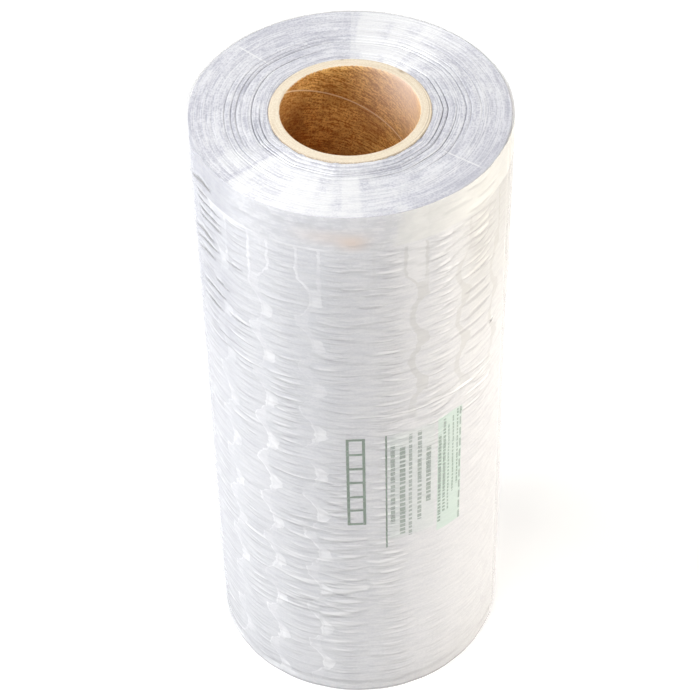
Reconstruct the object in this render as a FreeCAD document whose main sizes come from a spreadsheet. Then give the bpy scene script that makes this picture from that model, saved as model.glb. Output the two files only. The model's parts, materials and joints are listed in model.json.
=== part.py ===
"""A roll of uninflated air cushion film, standing on one end.

Two pieces: a spiral-wound paperboard core tube, and the film wound on it, whose turns are one solid.
Millimetres. The roll's axis is +Z, and the origin is the centre of the lower end.
"""

import FreeCAD, Part
import math
import os

import Sketcher

# name, value in mm (or degrees where the note says so), what it is
DRIVING_DIMENSIONS = [
    ("webWidth", 400.0, "width of the film web, which is the roll's and the core's length"),
    ("rollDia", 178.0, "outside of the wound film"),
    ("boreDia", 76.2, "bore of the core, 3 inch"),
    ("coreWall", 6.4, "wall of the paperboard core"),
    ("coreChamfer", 0.5, "deburred edges of the core's two cut ends"),
    ("rimRadius", 1.2, "rounding of the film's outer rims, where the last turns lean in"),
    ("slackWidth", 0.9, "mouth of the gap where the winding went slack"),
    ("slackDepth", 1.6, "depth of that gap from the end face"),
    ("slackOne", 5.5, "first slack turn, out from the core"),
    ("slackTwo", 16.0, "second slack turn, out from the core"),
    ("slackThree", 24.2, "third slack turn, out from the core"),
    ("tailStep", 0.3, "how far the cut end of the last turn stands off the roll"),
    ("tailRoot", 0.6, "how deep the last turn's section reaches into the roll, so that they are one solid"),
    ("tailAzimuth", -18.0, "degrees, where the last turn is cut off"),
    ("tailSweep", 120.0, "degrees, over which the last turn lies back down on the roll"),
]
SLACK_TURNS = ("slackOne", "slackTwo", "slackThree")
CORE_RADIUS = "(dims.boreDia / 2 + dims.coreWall)"  # outside of the core and inside of the film
ORIGIN_POINT = (-1, 1)  # the sketch origin, as the sketcher's constraints name it
X_AXIS = -1
START, END, CENTRE = 1, 2, 3  # a sketch curve's points


def make_dimensions(doc):
    """The spreadsheet that every feature's sizes are bound to."""
    sheet = doc.addObject("Spreadsheet::Sheet", "dims")
    for row, (name, value, note) in enumerate(DRIVING_DIMENSIONS, start=1):
        sheet.set(f"A{row}", name)
        sheet.set(f"B{row}", str(value))
        sheet.set(f"C{row}", note)
        sheet.setAlias(f"B{row}", name)
    doc.recompute()
    return sheet


def origin_plane(body, role):
    """The body's own origin plane with that role, such as XY_Plane."""
    return next(feature for feature in body.Origin.OriginFeatures if feature.Role == role)


def origin_sketch(body, name, role):
    """A new sketch on one of the body's own origin planes."""
    sketch = body.newObject("Sketcher::SketchObject", name)
    sketch.AttachmentSupport = [(origin_plane(body, role), "")]
    sketch.MapMode = "FlatFace"
    return sketch


def bind(sketch, kind, *places, to):
    """Adds a dimensional constraint and ties it to an expression on the spreadsheet."""
    # the starting value only picks the side that the solver begins on
    index = sketch.addConstraint(Sketcher.Constraint(kind, *places, sketch_value(sketch, to)))
    sketch.setExpression(f"Constraints[{index}]", to)


def sketch_value(sketch, expression):
    """What an expression on the spreadsheet comes to now, in mm or radians."""
    value = sketch.evalExpression(expression)
    if getattr(value, "Unit", None) == FreeCAD.Units.Angle:
        return value.getValueAs("rad").Value
    return float(getattr(value, "Value", value))


def closed_polygon(sketch, points):
    """Lines from point to point and back to the first, joined at their ends. Returns the lines' indices."""
    corners = [FreeCAD.Vector(x, y, 0) for x, y in points]
    ends = corners[1:] + corners[:1]
    lines = [sketch.addGeometry(Part.LineSegment(a, b), False) for a, b in zip(corners, ends)]
    for line, following in zip(lines, lines[1:] + lines[:1]):
        sketch.addConstraint(Sketcher.Constraint("Coincident", line, END, following, START))
    return lines


def section_rectangle(sketch, inner, outer, length):
    """A rectangle in radius and height, standing on the origin's level: inner and outer are its radii."""
    r_in, r_out, height = (sketch_value(sketch, e) for e in (inner, outer, length))
    corners = [(r_in, 0), (r_out, 0), (r_out, height), (r_in, height)]
    lower, right, upper, left = closed_polygon(sketch, corners)
    for line in (lower, upper):
        sketch.addConstraint(Sketcher.Constraint("Horizontal", line))
    for line in (left, right):
        sketch.addConstraint(Sketcher.Constraint("Vertical", line))
    sketch.addConstraint(Sketcher.Constraint("PointOnObject", lower, START, X_AXIS))
    bind(sketch, "DistanceX", *ORIGIN_POINT, lower, START, to=inner)
    bind(sketch, "DistanceX", *ORIGIN_POINT, lower, END, to=outer)
    bind(sketch, "DistanceY", lower, END, upper, START, to=length)


def revolved_ring(body, name, inner, outer, length):
    """A round ring about +Z, turned from a rectangular section."""
    sketch = origin_sketch(body, f"{name}Section", "XZ_Plane")
    section_rectangle(sketch, inner, outer, length)
    ring = body.newObject("PartDesign::Revolution", name)
    ring.Profile = sketch
    ring.ReferenceAxis = (sketch, ["V_Axis"])
    ring.Angle = 360.0
    body.Document.recompute()
    return ring


def rim_edges(shape, radius, height):
    """Names of the round edges of that radius that lie on the two end faces."""
    found = []
    for number, edge in enumerate(shape.Edges, start=1):
        round_edge = isinstance(edge.Curve, Part.Circle) and abs(edge.Curve.Radius - radius) < 1e-4
        level = edge.BoundBox.Center.z
        if round_edge and min(abs(level), abs(level - height)) < 1e-4:
            found.append(f"Edge{number}")
    return found


def slack_profile(sketch, offset, upper_end):
    """The V section of one slack turn's gap, its mouth on an end face and its point inside the roll."""
    level = "dims.webWidth" if upper_end else "0 mm"
    radius = f"{CORE_RADIUS} + dims.{offset}"
    r, z, width, depth = (
        sketch_value(sketch, e) for e in (radius, level, "dims.slackWidth", "dims.slackDepth")
    )
    inward = -1 if upper_end else 1
    mouth = [(r, z), (r + width, z)]
    mouth = mouth if upper_end else mouth[::-1]
    first, _, last = closed_polygon(sketch, [*mouth, (r + width / 2, z + inward * depth)])
    inner_corner = (first, START) if upper_end else (first, END)
    outer_corner = (first, END) if upper_end else (first, START)
    point = (last, START)
    sketch.addConstraint(Sketcher.Constraint("Horizontal", first))
    bind(sketch, "DistanceX", *ORIGIN_POINT, *inner_corner, to=radius)
    bind(sketch, "DistanceX", *inner_corner, *outer_corner, to="dims.slackWidth")
    bind(sketch, "DistanceX", *inner_corner, *point, to="dims.slackWidth / 2")
    if upper_end:
        bind(sketch, "DistanceY", *ORIGIN_POINT, *inner_corner, to=level)
        bind(sketch, "DistanceY", *point, *inner_corner, to="dims.slackDepth")
    else:
        sketch.addConstraint(Sketcher.Constraint("PointOnObject", *inner_corner, X_AXIS))
        bind(sketch, "DistanceY", *inner_corner, *point, to="dims.slackDepth")


def cut_slack_turns(body):
    """Round gaps in both end faces, where the winding tension dropped for a few turns."""
    for name, upper_end in (("UpperSlack", True), ("LowerSlack", False)):
        sketch = origin_sketch(body, f"{name}Section", "XZ_Plane")
        for offset in SLACK_TURNS:
            slack_profile(sketch, offset, upper_end)
        groove = body.newObject("PartDesign::Groove", name)
        groove.Profile = sketch
        groove.ReferenceAxis = (sketch, ["V_Axis"])
        groove.Angle = 360.0
        body.Document.recompute()


def lay_last_turn(body):
    """The last turn's cut end: a thin crescent that leaves the roll without a corner and ends in a step.

    It runs along the web between the two rounded rims.
    """
    sketch = origin_sketch(body, "LastTurnSection", "XY_Plane")
    sketch.setExpression("AttachmentOffset.Base.z", "dims.rimRadius")
    cut_end, laid_down = "dims.tailAzimuth", "dims.tailAzimuth - dims.tailSweep"
    angles = [math.radians(sketch_value(sketch, e)) for e in (laid_down, cut_end)]
    sizes = ("dims.rollDia / 2", "dims.tailStep", "dims.tailRoot")
    radius, step, root = (sketch_value(sketch, e) for e in sizes)

    def polar(r, angle):
        return FreeCAD.Vector(r * math.cos(angle), r * math.sin(angle), 0)

    def arc(r):
        circle = Part.Circle(polar(0, 0), FreeCAD.Vector(0, 0, 1), r)
        return sketch.addGeometry(Part.ArcOfCircle(circle, *angles), False)

    def radial_line(r_from, r_to, angle, construction=False):
        return sketch.addGeometry(Part.LineSegment(polar(r_from, angle), polar(r_to, angle)), construction)

    outer = arc(radius + step / 2)
    inner = arc(radius - root)
    foot, lip = (radial_line(r, radius - root, angle) for r, angle in zip((radius, radius + step), angles))
    spokes = [radial_line(0, radius - root, angle, construction=True) for angle in angles]
    for line, spoke, direction in zip((foot, lip), spokes, (laid_down, cut_end)):
        sketch.addConstraint(Sketcher.Constraint("Coincident", spoke, START, *ORIGIN_POINT))
        sketch.addConstraint(Sketcher.Constraint("Coincident", spoke, END, line, END))
        sketch.addConstraint(Sketcher.Constraint("Parallel", line, spoke))
        bind(sketch, "Angle", X_AXIS, START, spoke, START, to=f"({direction}) * 1 deg")
    for curve in (inner, outer):
        line_end = END if curve == inner else START
        sketch.addConstraint(Sketcher.Constraint("Coincident", curve, START, foot, line_end))
        sketch.addConstraint(Sketcher.Constraint("Coincident", curve, END, lip, line_end))
    sketch.addConstraint(Sketcher.Constraint("PointOnObject", outer, CENTRE, spokes[0]))
    bind(sketch, "Distance", *ORIGIN_POINT, foot, END, to="dims.rollDia / 2 - dims.tailRoot")
    bind(sketch, "Distance", *ORIGIN_POINT, foot, START, to="dims.rollDia / 2")
    bind(sketch, "Distance", *ORIGIN_POINT, lip, START, to="dims.rollDia / 2 + dims.tailStep")
    sketch.addConstraint(Sketcher.Constraint("Coincident", inner, CENTRE, *ORIGIN_POINT))
    turn = body.newObject("PartDesign::Pad", "LastTurn")
    turn.Profile = sketch
    turn.setExpression("Length", "dims.webWidth - 2 * dims.rimRadius")
    body.Document.recompute()


def make_core(doc):
    """The spiral-wound paperboard tube: square-cut ends with lightly broken edges."""
    body = doc.addObject("PartDesign::Body", "core_tube")
    tube = revolved_ring(body, "Tube", "dims.boreDia / 2", CORE_RADIUS, "dims.webWidth")
    radii = [sketch_value(tube.Profile[0], e) for e in ("dims.boreDia / 2", CORE_RADIUS)]
    height = doc.dims.webWidth
    broken = body.newObject("PartDesign::Chamfer", "BrokenEdges")
    broken.Base = (tube, [edge for radius in radii for edge in rim_edges(tube.Shape, radius, height)])
    broken.setExpression("Size", "dims.coreChamfer")
    doc.recompute()
    return body


def make_film(doc):
    """The wound film: one solid ring on the core, with rounded rims, slack turns and a cut last turn."""
    body = doc.addObject("PartDesign::Body", "film_roll")
    wound = revolved_ring(body, "Wound", CORE_RADIUS, "dims.rollDia / 2", "dims.webWidth")
    rims = body.newObject("PartDesign::Fillet", "Rims")
    rims.Base = (wound, rim_edges(wound.Shape, doc.dims.rollDia / 2, doc.dims.webWidth))
    rims.setExpression("Radius", "dims.rimRadius")
    doc.recompute()
    cut_slack_turns(body)
    lay_last_turn(body)
    return body


def check(doc, bodies):
    """Stops before anything is written unless every feature, sketch and solid is sound."""
    for thing in doc.Objects:
        if {"Invalid", "Error"} & set(thing.State):
            raise RuntimeError(f"{thing.Name} failed: {thing.State}")
        if thing.isDerivedFrom("Sketcher::SketchObject") and not thing.FullyConstrained:
            raise RuntimeError(f"{thing.Name} isn't fully constrained")
    for body in bodies:
        shape = body.Shape
        if shape.isNull() or not shape.isValid() or len(shape.Solids) != 1:
            raise RuntimeError(f"{body.Label} isn't one valid solid")


def main():
    doc = FreeCAD.newDocument("film_roll")
    make_dimensions(doc)
    bodies = [make_core(doc), make_film(doc)]
    doc.recompute()
    check(doc, bodies)
    os.makedirs("parts", exist_ok=True)
    for body in bodies:
        body.Shape.exportStep(os.path.join("parts", f"{body.Label}.step"))
        box = body.Shape.optimalBoundingBox(True, False)
        lengths = ", ".join(f"{length:.2f}" for length in (box.XLength, box.YLength, box.ZLength))
        print(f"{body.Label}: {body.Shape.Volume / 1000:.1f} cm3, {lengths} mm along x, y, z")


main()
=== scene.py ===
"""The looks of a roll of uninflated air cushion film that stands on one end.

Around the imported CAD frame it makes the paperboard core, the windings with their two coiled end faces, and
the outermost turn of clear film, with its heat seals, its wrinkles and a printed field of plain frames
and dashes.

Metres, in the frame of the CAD model: the roll's axis is +Z, and the floor is at z = 0.
"""

import json
import math

import bpy
import numpy as np
from mathutils import Matrix, Vector


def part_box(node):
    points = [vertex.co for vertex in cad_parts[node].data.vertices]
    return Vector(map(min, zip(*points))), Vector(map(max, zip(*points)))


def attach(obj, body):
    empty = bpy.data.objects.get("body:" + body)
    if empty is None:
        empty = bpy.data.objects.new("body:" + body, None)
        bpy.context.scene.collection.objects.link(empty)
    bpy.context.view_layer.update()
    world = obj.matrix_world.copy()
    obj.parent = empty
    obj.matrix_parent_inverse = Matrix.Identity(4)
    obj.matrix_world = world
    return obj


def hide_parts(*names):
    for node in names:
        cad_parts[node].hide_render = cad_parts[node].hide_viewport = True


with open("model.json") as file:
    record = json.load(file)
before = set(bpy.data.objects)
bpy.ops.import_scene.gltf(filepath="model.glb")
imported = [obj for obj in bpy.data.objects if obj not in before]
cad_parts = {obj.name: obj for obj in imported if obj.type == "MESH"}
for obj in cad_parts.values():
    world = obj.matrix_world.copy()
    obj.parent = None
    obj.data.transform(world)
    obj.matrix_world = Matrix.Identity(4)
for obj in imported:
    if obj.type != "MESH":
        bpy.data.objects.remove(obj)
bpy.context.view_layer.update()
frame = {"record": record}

MM = 0.001
TURN = 2 * math.pi

# ---------------------------------------------------------------- sizes, from the frame
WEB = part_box("film_roll")[1].z  # the film's width, which is the roll's height
ROLL_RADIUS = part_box("film_roll")[1].x
CORE_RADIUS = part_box("core_tube")[1].x
BORE_RADIUS = next(m for m in frame["record"]["mounts"] if m["name"] == "core_bore")["dims"]["r_mm"] * MM

# ---------------------------------------------------------------- the film's heat seals
TAIL = math.radians(-18)  # azimuth at which the last turn is cut off
COLUMN_PITCH = 29.8 * MM  # from one chain of cells to the next, round the roll
SEAL_START = 24.5 * MM  # how far the first chain starts before the cut end
CELL_PITCH = 34.9 * MM  # from one cell to the next, down a chain
CELL_RADIUS = 15.5 * MM
NECK = 6.8 * MM  # half the width of the passage between two cells of a chain
INLET = 7.6 * MM  # half the width of the straight passage above a chain's first cell
FIRST_CELL = 60.3 * MM  # from the upper edge to the first cell's centre, in every other chain
FLANGE = 23.4 * MM  # the unsealed edge that goes over an inflating nozzle
FLANGE_SEAL = 0.8 * MM  # half the width of the seal line under it
POCKET_END = 53 * MM  # the dead pockets between the inlets reach this far down
POCKET_WALL = 1.9 * MM  # the width of the seal round a pocket
SELVAGE = 6.5 * MM  # the sealed lower edge
SEAL_EDGE = 0.4 * MM  # half the width over which a seal fades out
CELL_ROUNDING = 1.5 * MM  # how softly a cell's arc meets the passage

# ---------------------------------------------------------------- the layers' radii
SEALED_RADIUS = ROLL_RADIUS - 0.8 * MM  # the outermost turn, where it is sealed flat
WINDINGS_RADIUS = ROLL_RADIUS - 1.2 * MM  # the turn beneath it


# ---------------------------------------------------------------- values for arrays and for nodes alike
class Field:
    """A number that varies over a surface, worked out by a material's nodes."""

    def __init__(self, tree, socket):
        self.tree = tree
        self.socket = socket

    def __add__(self, other):
        return work_out("ADD", None, self, other)

    def __radd__(self, other):
        return work_out("ADD", None, other, self)

    def __sub__(self, other):
        return work_out("SUBTRACT", None, self, other)

    def __rsub__(self, other):
        return work_out("SUBTRACT", None, other, self)

    def __mul__(self, other):
        return work_out("MULTIPLY", None, self, other)

    def __rmul__(self, other):
        return work_out("MULTIPLY", None, other, self)

    def __truediv__(self, other):
        return work_out("DIVIDE", None, self, other)

    def __neg__(self):
        return work_out("MULTIPLY", None, self, -1)


def work_out(operation, function, *values):
    """A Math node where any value is a Field, and else the function of the plain values."""
    fields = [value for value in values if isinstance(value, Field)]
    if not fields:
        return function(*values)
    tree = fields[0].tree
    node = tree.nodes.new("ShaderNodeMath")
    node.operation = operation
    for socket, value in zip(node.inputs, values):
        if isinstance(value, Field):
            tree.links.new(value.socket, socket)
        else:
            socket.default_value = float(value)
    return Field(tree, node.outputs[0])


def absolute(x):
    return work_out("ABSOLUTE", np.abs, x)


def root(x):
    return work_out("SQRT", np.sqrt, x)


def nearest_whole(x):
    return work_out("ROUND", np.round, x)


def whole_part(x):
    return work_out("FLOOR", np.floor, x)


def remainder(x, step):
    return work_out("FLOORED_MODULO", np.mod, x, step)


def larger(x, y):
    return work_out("MAXIMUM", np.maximum, x, y)


def smaller(x, y):
    return work_out("MINIMUM", np.minimum, x, y)


def below(x, limit):
    return work_out("LESS_THAN", lambda a, b: np.where(a < b, 1.0, 0.0), x, limit)


def sine(x):
    return work_out("SINE", np.sin, x)


def ramp(x, low, high):
    """0 up to low, 1 from high on, and smooth between them."""
    t = smaller(larger((x - low) / (high - low), 0.0), 1.0)
    return t * t * (3.0 - 2.0 * t)


def near(x, middle, reach):
    """1 at the middle, and 0 from that reach on."""
    return ramp(-absolute(x - middle), -reach, 0.0)


def rounded_larger(x, y, rounding):
    """The larger of the two, with the corner between them rounded."""
    gap = x - y
    return 0.5 * (x + y + root(gap * gap + rounding * rounding))


# ---------------------------------------------------------------- the seal pattern
def chain_half_width(down, odd):
    """Half the open width of a chain of cells, at a distance down from the film's upper edge.

    odd is 1 in the chains whose cells lie half a pitch lower, and 0 in the others.
    """
    from_first = down - FIRST_CELL - odd * (CELL_PITCH / 2)
    above_first = below(from_first, 0.0)
    from_cell = from_first - CELL_PITCH * larger(nearest_whole(from_first / CELL_PITCH), 0.0)
    cell = root(larger(CELL_RADIUS ** 2 - from_cell * from_cell, 0.0))
    passage = NECK + (INLET - NECK) * above_first
    return rounded_larger(cell, passage, CELL_ROUNDING)


def seal_edges(around, down):
    """How far a point lies into the sealed film from the chain before it, and from the chain after it.

    The third value is how much wider the chain before it is at that height than the chain after it.
    """
    column = whole_part(around / COLUMN_PITCH)
    odd = remainder(column, 2.0)
    side = around - (column + 0.5) * COLUMN_PITCH
    own_width = chain_half_width(down, odd)
    next_width = chain_half_width(down, 1.0 - odd)
    own = absolute(side) - own_width
    neighbour = COLUMN_PITCH - absolute(side) - next_width
    first_half = below(side, 0.0)
    swap = (neighbour - own) * first_half
    return own + swap, neighbour - swap, (own_width - next_width) * (1.0 - 2.0 * first_half)


def seal_depth(around, down):
    """How far a point lies inside the sealed film between two chains. Less than 0 is inside a cell."""
    before, after = seal_edges(around, down)[:2]
    return smaller(before, after)


def sealed(depth, down, edge=SEAL_EDGE):
    """1 where the film's two plies are sealed together, and 0 where they are loose."""
    between = ramp(depth, -edge, edge)
    above_end = ramp(-down, -POCKET_END - edge, -POCKET_END + edge)
    pocket = ramp(depth, POCKET_WALL - edge, POCKET_WALL + edge) * above_end
    lines = between - pocket
    under_flange = ramp(down, FLANGE - edge, FLANGE + edge)
    flange_line = ramp(FLANGE_SEAL - absolute(down - FLANGE), -edge, edge)
    selvage = ramp(down, WEB - SELVAGE - edge, WEB - SELVAGE + edge)
    return larger(larger(lines * under_flange, flange_line), selvage)


# ---------------------------------------------------------------- the wrinkles
def scatter(*numbers):
    """A number from 0 to 1 that looks random, and is the same for the same whole numbers."""
    total = 0.7
    for number, factor in zip(numbers, (2.713, 1.937, 5.171)):
        total = number * factor + total
    return remainder(sine(total) * 97.3, 1.0)


CREST = 0.35  # where a fold is highest, from -1 at its upper foot to 1 at its lower foot


def lenses(around, down, pitch, seed, reach, pace=COLUMN_PITCH, thin=0.35, thick=0.5, least=0.3):
    """Lens-shaped folds that run round the roll, one in each row of a column, with a steep lower side.

    The first value is 1 on a crest, and the second is 1 in the crease under it. Both are 0 outside.
    """
    column = np.floor(around / pace)
    waver = 1.5 * noise(around / (34 * MM), down / (24 * MM), seed + 7)
    rows = down / pitch + waver + scatter(column, seed) * 3.0
    row = np.floor(rows)
    aside = around - (column + 0.5) * pace - (scatter(column, row, seed + 1) - 0.5) * (0.35 * pace)
    share = aside / (0.5 * reach + scatter(column, row, seed + 2) * reach)
    taper = np.sqrt(np.maximum(1.0 - share * share, 0.0))
    tilt = (scatter(column, row, seed + 3) - 0.5) * 0.12
    half_width = taper * (thin + (thick - thin) * scatter(column, row, seed + 4)) * pitch
    across = ((rows - row - 0.5) * pitch + aside * tilt) / np.maximum(half_width, 0.01 * MM)
    height = least + (1.0 - least) * scatter(column, row, seed + 5)
    rise = np.clip(np.minimum((across + 1.0) / (1.0 + CREST), (1.0 - across) / (1.0 - CREST)), 0.0, 1.0)
    crease = np.clip(1.6 - np.abs(across - 0.85) / 0.3, 0.0, 1.0)
    return rise * rise * (3.0 - 2.0 * rise) * taper * height, crease * taper * np.clip(height, 0.0, 1.0)


# ---------------------------------------------------------------- the turns at the ends
# azimuths, in degrees, at which the slack turns bend
CORNERS = np.array([-218, -151, -125, -100, -62, -36, 0, 33, 62, 100, 142, 209])
WIDEST_SPAN = 67  # degrees between the two corners that are furthest apart
FLATTEST = 1.6 * MM  # how far the innermost turns dip there


def signed_degrees(azimuth):
    """The azimuth in degrees, from -180 to 180."""
    return (np.degrees(azimuth) + 180) % 360 - 180


def flattening(azimuth, radius):
    """How much nearer to the axis a turn lies between its corners than a round turn would."""
    degrees = signed_degrees(azimuth)
    after = np.searchsorted(CORNERS, degrees, side="right")
    start = CORNERS[after - 1]
    span = CORNERS[after] - start
    slack = 1 - 0.6 * ramp(radius, CORE_RADIUS + 4 * MM, ROLL_RADIUS)
    return FLATTEST * slack * span / WIDEST_SPAN * np.sin(math.pi * (degrees - start) / span)


def end_sheen(azimuth, radius):
    """How bright the coiled end is painted, from -1 to 1. The bright sectors are a painted sheen, where the
    edges of the turns catch the light.
    """
    degrees = signed_degrees(azimuth)
    fan = ramp(noise(azimuth / TURN * 90, radius / (36 * MM), 61, 90), 0.3, 0.7)
    blotch = noise(azimuth / TURN * 60, radius / (6 * MM), 62, 60)
    towards_rim = 0.4 + 0.6 * ramp(radius, 50 * MM, 60 * MM)
    front = 0.45 * ramp(degrees, -156, -150) + 0.55 * ramp(degrees, -139.5, -138)
    front = front * (1 - ramp(degrees, -88, -50)) * towards_rim * (0.4 + 0.7 * fan)
    front = front + 0.5 * near(degrees, -103, 9) * near(radius, 79 * MM, 16 * MM)
    back = ramp(degrees, 38, 56) * (1 - ramp(degrees, 88.5, 89.5)) * (0.6 + 0.55 * fan)
    outer_band = 0.9 * near(degrees, -38, 46) * ramp(radius, 74 * MM, 80 * MM)
    creases = near(degrees, -140, 1.3) * ramp(radius, 54 * MM, 60 * MM) + 0.6 * near(degrees, 55, 1.5)
    creases = creases + 0.5 * near(degrees, 86, 2.5) * ramp(radius, 66 * MM, 72 * MM)
    dim = outer_band + 0.4 * near(degrees, 122, 18) + 0.9 * creases
    return np.clip(front + back - dim + 0.8 * (blotch - 0.5), -1, 1)


def ring_lines(azimuth, turn, pitch, seed, width=0.3):
    """Arcs that follow the turns, one in each step of radius: 1 on the line and 0 outside."""
    rows = turn / pitch
    row = whole_part(rows)
    middle = scatter(row, seed) * TURN
    window = larger(sine(azimuth - middle) + 2.0 * scatter(row, seed + 1) - 1.0, 0.0)
    share = absolute(rows - row - 0.3 - 0.4 * scatter(row, seed + 2)) / width
    return larger(1.0 - share, 0.0) * smaller(window * 2.0, 1.0)


# ---------------------------------------------------------------- noise for the meshes
NOISE_CELLS = 256


def noise(x, y, seed, period=NOISE_CELLS):
    """Smooth noise from 0 to 1 over a plane of unit cells. It repeats after period cells along x."""
    table = np.random.default_rng(seed).random((NOISE_CELLS, NOISE_CELLS))
    column, row = np.floor(x).astype(int), np.floor(y).astype(int)
    s, t = x - column, y - row
    s, t = s * s * (3 - 2 * s), t * t * (3 - 2 * t)

    def corner(i, j):
        return table[(row + j) % NOISE_CELLS, (column + i) % period]

    lower = corner(0, 0) * (1 - s) + corner(1, 0) * s
    upper = corner(0, 1) * (1 - s) + corner(1, 1) * s
    return lower * (1 - t) + upper * t


# ---------------------------------------------------------------- meshes
def grid_piece(name, points, close_rows=False, close_columns=True):
    """A smooth mesh of quads through a grid of points, rows by columns by x, y, z.

    Its faces look outward where the columns run anticlockwise and the rows run down the outside.
    """
    rows, columns = points.shape[:2]
    index = np.arange(rows * columns).reshape(rows, columns)
    if close_rows:
        index = np.vstack([index, index[:1]])
    if close_columns:
        index = np.hstack([index, index[:, :1]])
    corners = [index[:-1, :-1], index[1:, :-1], index[1:, 1:], index[:-1, 1:]]
    quads = np.stack(corners, axis=-1).reshape(-1, 4)
    mesh = bpy.data.meshes.new(name)
    mesh.from_pydata(points.reshape(-1, 3).tolist(), [], quads.tolist())
    mesh.polygons.foreach_set("use_smooth", np.ones(len(quads), bool))
    mesh.update()
    piece = bpy.data.objects.new(name, mesh)
    bpy.context.scene.collection.objects.link(piece)
    return piece


def on_cylinder(azimuth, radius, height):
    """Points at those azimuths, radii and heights, all arrays of one shape."""
    return np.stack([radius * np.cos(azimuth), radius * np.sin(azimuth), height], axis=-1)


def store(piece, name, values):
    """Keeps a number for each point of a piece, for its material to read."""
    attribute = piece.data.attributes.new(name, "FLOAT", "POINT")
    attribute.data.foreach_set("value", np.ascontiguousarray(values.ravel(), np.float32))


def finish_piece(piece, node, material):
    """Gives a piece its material, and ties it to the frame."""
    piece.data.materials.append(material)
    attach(piece, "root")
    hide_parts(node)


# ---------------------------------------------------------------- the outermost turn
SHEET_ROWS = 720
SHEET_COLUMNS = 138
FRONT = math.radians(-90)  # azimuth of the side that the camera sees most of
FRONT_CROWDING = 0.35  # how much closer the columns stand at the front than on average
PUFF = 0.2 * MM  # how far a cell's loose film stands out
WRINKLE_HEIGHT = 0.75 * MM
FLANGE_FOLD_HEIGHT = 0.5 * MM
LOOSE_HEIGHT = 0.4 * MM  # how far the last turn stands off where it has worked loose
STAND_OFF = 2.2 * MM  # how far it stands off on the left
PROUD = 1.5 * MM  # how far beyond the roll's nominal radius the loose film reaches at most
LIP_HEIGHT = 0.5 * MM  # how far the turn rises to pass over its own cut end
RIM_LEAN = 0.1 * MM  # how far its two edges lean in
RIM_HEIGHT = 3 * MM
RIDGE_WIDTH = 1.3 * MM  # of the long creases
DROOP_FROM = -152  # azimuth in degrees beyond which the single folds droop

# each ridge's distance down from the upper edge in mm, its azimuth range in degrees, and its height in mm
LONG_CREASES = [
    (149.5, -102, -22, 0.45),
    (186.0, -170, -95, 0.25),
    (274.0, -146, -63, 0.45),
    (297.0, -140, -69, 0.4),
    (342.0, -120, -40, 0.25),
    (128.0, 20, 110, 0.4),
    (231.0, 60, 170, 0.3),
]

# each fold's distance down in mm, its azimuth range in degrees, its thickness in mm, and the darkness of the
# painted shade in its crease
STROKES = [
    (16, -165, -148, 3.6, 1.0),
    (23, -161, -151, 2.2, 0.8),
    (29, -159, -152, 2.5, 0.9),
    (29, -151, -144, 2.4, 0.7),
    (35, -158, -151, 2.7, 0.9),
    (34, -151, -144, 2.5, 0.75),
    (40.5, -158, -152, 2.5, 0.9),
    (39.5, -151, -142, 2.7, 0.8),
    (51, -165, -147, 3.0, 0.9),
    (57, -163, -145, 2.5, 0.9),
    (56.5, -140, -133, 1.8, 0.7),
    (65, -161, -147, 2.5, 0.9),
    (79, -149, -141, 2.5, 0.7),
    (88, -159, -142, 2.4, 0.9),
    (99, -156, -145, 2.5, 0.8),
    (97, -140, -133, 2.8, 0.5),
    (118, -148, -141, 1.8, 0.5),
    (78, -58, -49, 1.6, 0.25),
    (36, -48, -34, 2.0, 0.22),
    (45, -47, -33, 2.4, 0.25),
    (54, -46, -32, 2.0, 0.22),
    (65, -44, -33, 3.0, 0.3),
    (78, -47, -33, 2.6, 0.4),
    (86, -48, -31, 3.4, 0.36),
    (97, -48, -30, 3.4, 0.38),
    (106, -57, -33, 2.4, 0.32),
    (116.5, -44, -31, 2.6, 0.35),
    (125, -46, -37, 2.2, 0.3),
    (119, -30, -28, 2.6, 1.0),
    (149.5, -96, -25, 1.2, 0.35),
    (11, -58, -44, 2.6, 0.16),
    (5, -66, -50, 2.0, 0.08),
    (4, -47, -36, 2.0, 0.2),
    (14, -41, -29, 2.4, 0.28),
    (20, -46, -33, 2.4, 0.28),
    (18.5, -93, -76, 2.0, 0.2),
    (7, -112, -98, 2.4, 0.1),
    (13, -140, -118, 2.4, 0.1),
    (37, -96, -84, 1.8, 0.3),
    (51, -95, -85, 1.8, 0.25),
    (55, -87, -78, 1.8, 0.35),
    (64, -89, -80, 2.0, 0.35),
    (76, -92, -76, 1.8, 0.2),
    (205, -126, -98, 2.2, 0.25),
    (240, -124, -100, 2.0, 0.25),
    (247, -126, -99, 2.0, 0.25),
    (318, -124, -100, 2.0, 0.25),
    (325, -126, -98, 2.0, 0.25),
]


def strokes(degrees, down):
    """The deepest single folds: how far the film stands out above each, and how dark the painted shade in
    its crease is.
    """
    crest = np.zeros_like(down)
    crease = np.zeros_like(down)
    droop = 0.1 * MM * np.maximum(DROOP_FROM - degrees, 0) ** 1.5
    for level, start, end, thickness, darkness in STROKES:
        along = 2 * (degrees - start) / (end - start) - 1
        taper = np.sqrt(np.maximum(1 - along * along, 0))
        fade = ramp(taper, 0, 0.6)
        half = 0.5 * thickness * MM * np.maximum(taper, 0.05)
        sag = 1.5 * MM * noise(degrees / 5, 0 * degrees, seed=int(level)) + droop
        across = (down - level * MM - sag) / half
        crease = np.maximum(crease, darkness * fade * np.clip(1.5 - np.abs(across), 0, 1))
        standing = (0.3 + 0.7 * darkness) * fade * np.clip(1 - np.abs(across + 2.0) / 1.6, 0, 1)
        crest = np.maximum(crest, standing)
    return crest, crease


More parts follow.
